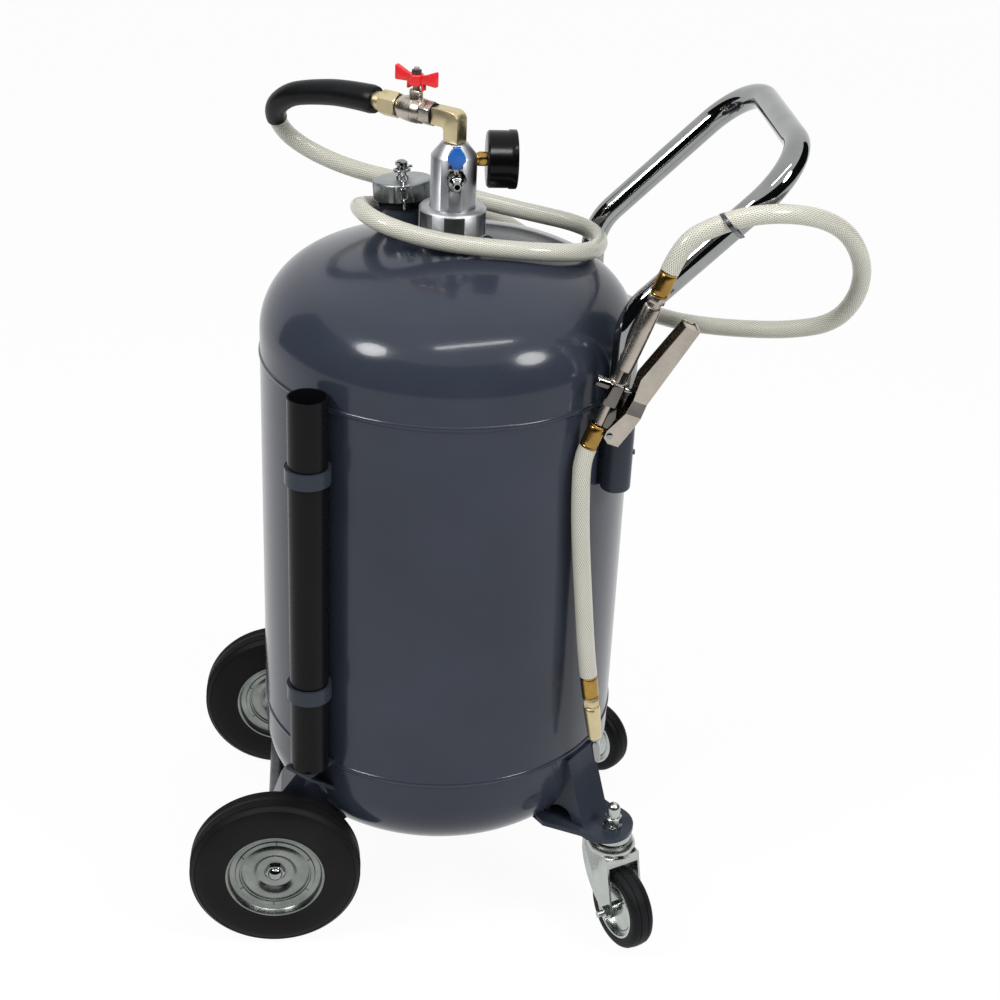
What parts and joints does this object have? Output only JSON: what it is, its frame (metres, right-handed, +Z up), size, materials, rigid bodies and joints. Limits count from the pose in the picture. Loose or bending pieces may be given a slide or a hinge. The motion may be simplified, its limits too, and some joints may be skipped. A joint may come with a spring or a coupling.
{
  "type": "wheeled pressure dispenser cart",
  "caption": "Upright painted pressure tank on two rear wheels and swivel casters, with a chrome push handle, top valves and gauge, and a braided hose with a hand gun.",
  "frame": {"origin": "floor under the middle of the bounding box of the rigid pieces", "axes": "+Z up, +X towards the push handle and the casters, -Y the side with the hand gun and hose holder"},
  "size_m": [0.7461, 0.4689, 0.996],
  "materials": {
    "tank_paint": "gloss blue-grey paint on welded sheet",
    "bracket_paint": "semi-gloss dark grey paint",
    "tube_paint": "semi-gloss black paint on the holder tube",
    "chrome": "polished chrome plate",
    "nickel": "satin nickel plate",
    "zinc": "bright zinc plated pressing",
    "machined_aluminium": "satin machined aluminium",
    "brass": "bright brass",
    "cap_casting": "die-cast aluminium, slightly dull",
    "black_plastic": "satin black plastic",
    "blue_plastic": "blue moulded plastic",
    "red_plastic": "red moulded handle",
    "black_rubber": "smooth black rubber",
    "wheel_rubber": "dark grey-brown wheel rubber with fine grooves",
    "caster_tread": "black rubber caster tread",
    "braided_pvc": "clear PVC over a woven white braid",
    "clear_lens": "clear window",
    "white_dial": "white printed dial without lettering",
    "dark_steel": "dark plain steel"
  },
  "bodies": {
    "cart": {"tank_shell": "tank_paint", "top_head": "tank_paint", "bottom_head": "tank_paint", "holder_tube": "tube_paint", "centre_neck": "bracket_paint", "filler_neck": "bracket_paint", "holder_brackets": "bracket_paint", "handle_sockets": "bracket_paint", "axle_brackets": "bracket_paint", "caster_brackets": "bracket_paint", "ring_nut": "machined_aluminium", "adaptor_body": "machined_aluminium", "dip_tube": "dark_steel", "socket_screws": "dark_steel", "rear_axle": "dark_steel", "outlet_elbow": "brass", "gauge_fitting": "brass", "gun_ferrules": "brass", "nozzle_ferrule": "brass", "nozzle_body": "brass", "ball_valve_body": "nickel", "hose_nipple": "nickel", "gun_body": "nickel", "gun_swivel": "nickel", "air_valve_body": "chrome", "air_nipple": "chrome", "push_handle": "chrome", "gun_pivot_pin": "chrome", "nozzle_tip": "chrome", "axle_nuts": "chrome", "gauge_case": "black_plastic", "gauge_dial": "white_dial", "gauge_lens": "clear_lens", "hose_clip": "zinc", "caster_kingpins": "zinc", "bend_guard": "black_rubber", "delivery_hose": "braided_pvc", "outlet_hose": "braided_pvc"},
    "outlet_valve": {"valve_ball": "nickel", "butterfly_handle": "red_plastic", "handle_nut": "chrome"},
    "air_valve_key": {"air_valve_handle": "blue_plastic"},
    "gauge_hand": {"gauge_pointer": "black_plastic"},
    "cap_group": {"filler_cap": "cap_casting", "relief_post": "chrome", "safety_chain": "chrome"},
    "trigger": {"gun_lever": "nickel"},
    "trigger_plunger": {"gun_plunger": "chrome"},
    "rear_wheel_left": {"rear_tyre_left": "wheel_rubber", "rear_rim_left": "zinc"},
    "rear_wheel_right": {"rear_tyre_right": "wheel_rubber", "rear_rim_right": "zinc"},
    "swivel_left": {"caster_fork_left": "zinc", "caster_axle_left": "zinc"},
    "swivel_right": {"caster_fork_right": "zinc", "caster_axle_right": "zinc"},
    "caster_wheel_left": {"caster_rim_left": "zinc", "caster_tyre_left": "caster_tread"},
    "caster_wheel_right": {"caster_rim_right": "zinc", "caster_tyre_right": "caster_tread"}
  },
  "joints": [
    {"name": "outlet_valve_turn", "type": "hinge", "parent": "cart", "child": "outlet_valve", "pos_m": [-0.07335, 0.05253, 0.96], "axis": [0, 0, 1], "range_deg": [0, 90]},
    {"name": "air_valve_turn", "type": "hinge", "parent": "cart", "child": "air_valve_key", "pos_m": [-0.03305, -0.01753, 0.905], "axis": [0, 0, 1], "range_deg": [0, 90]},
    {"name": "gauge_sweep", "type": "hinge", "parent": "cart", "child": "gauge_hand", "pos_m": [0.02395, 0.02047, 0.907], "axis": [-1, 0, 0], "range_deg": [0, 270], "stiffness_Nm_per_rad": 0.00002},
    {"name": "cap_lift", "type": "slide", "parent": "cart", "child": "cap_group", "axis": [-0.0783, 0.0934, 0.9925], "range_m": [0, 0.04]},
    {"name": "trigger_squeeze", "type": "hinge", "parent": "cart", "child": "trigger", "pos_m": [0.12643, -0.15453, 0.66817], "axis": [0, -1, 0], "range_deg": [0, 7], "stiffness_Nm_per_rad": 2},
    {"name": "plunger_stroke", "type": "slide", "parent": "cart", "child": "trigger_plunger", "axis": [-0.9422, 0, 0.335], "range_m": [0, 0.0065]},
    {"name": "rear_left_roll", "type": "hinge", "parent": "cart", "child": "rear_wheel_left", "pos_m": [-0.23005, -0.15853, 0.1], "axis": [0, 1, 0], "continuous": true},
    {"name": "rear_right_roll", "type": "hinge", "parent": "cart", "child": "rear_wheel_right", "pos_m": [-0.23005, 0.19947, 0.1], "axis": [0, 1, 0], "continuous": true},
    {"name": "caster_left_swivel", "type": "hinge", "parent": "cart", "child": "swivel_left", "pos_m": [0.16795, -0.15153, 0.12], "axis": [0, 0, 1], "continuous": true},
    {"name": "caster_right_swivel", "type": "hinge", "parent": "cart", "child": "swivel_right", "pos_m": [0.16795, 0.19247, 0.12], "axis": [0, 0, 1], "continuous": true},
    {"name": "caster_left_roll", "type": "hinge", "parent": "swivel_left", "child": "caster_wheel_left", "pos_m": [0.18274, -0.18325, 0.05], "axis": [0.9063, 0.4226, 0], "continuous": true},
    {"name": "caster_right_roll", "type": "hinge", "parent": "swivel_right", "child": "caster_wheel_right", "pos_m": [0.19313, 0.16816, 0.05], "axis": [0.6947, 0.7193, 0], "continuous": true}
  ],
  "couplings": [
    {"joint": "plunger_stroke", "follows": "trigger_squeeze", "m_per_rad": 0.051}
  ]
}
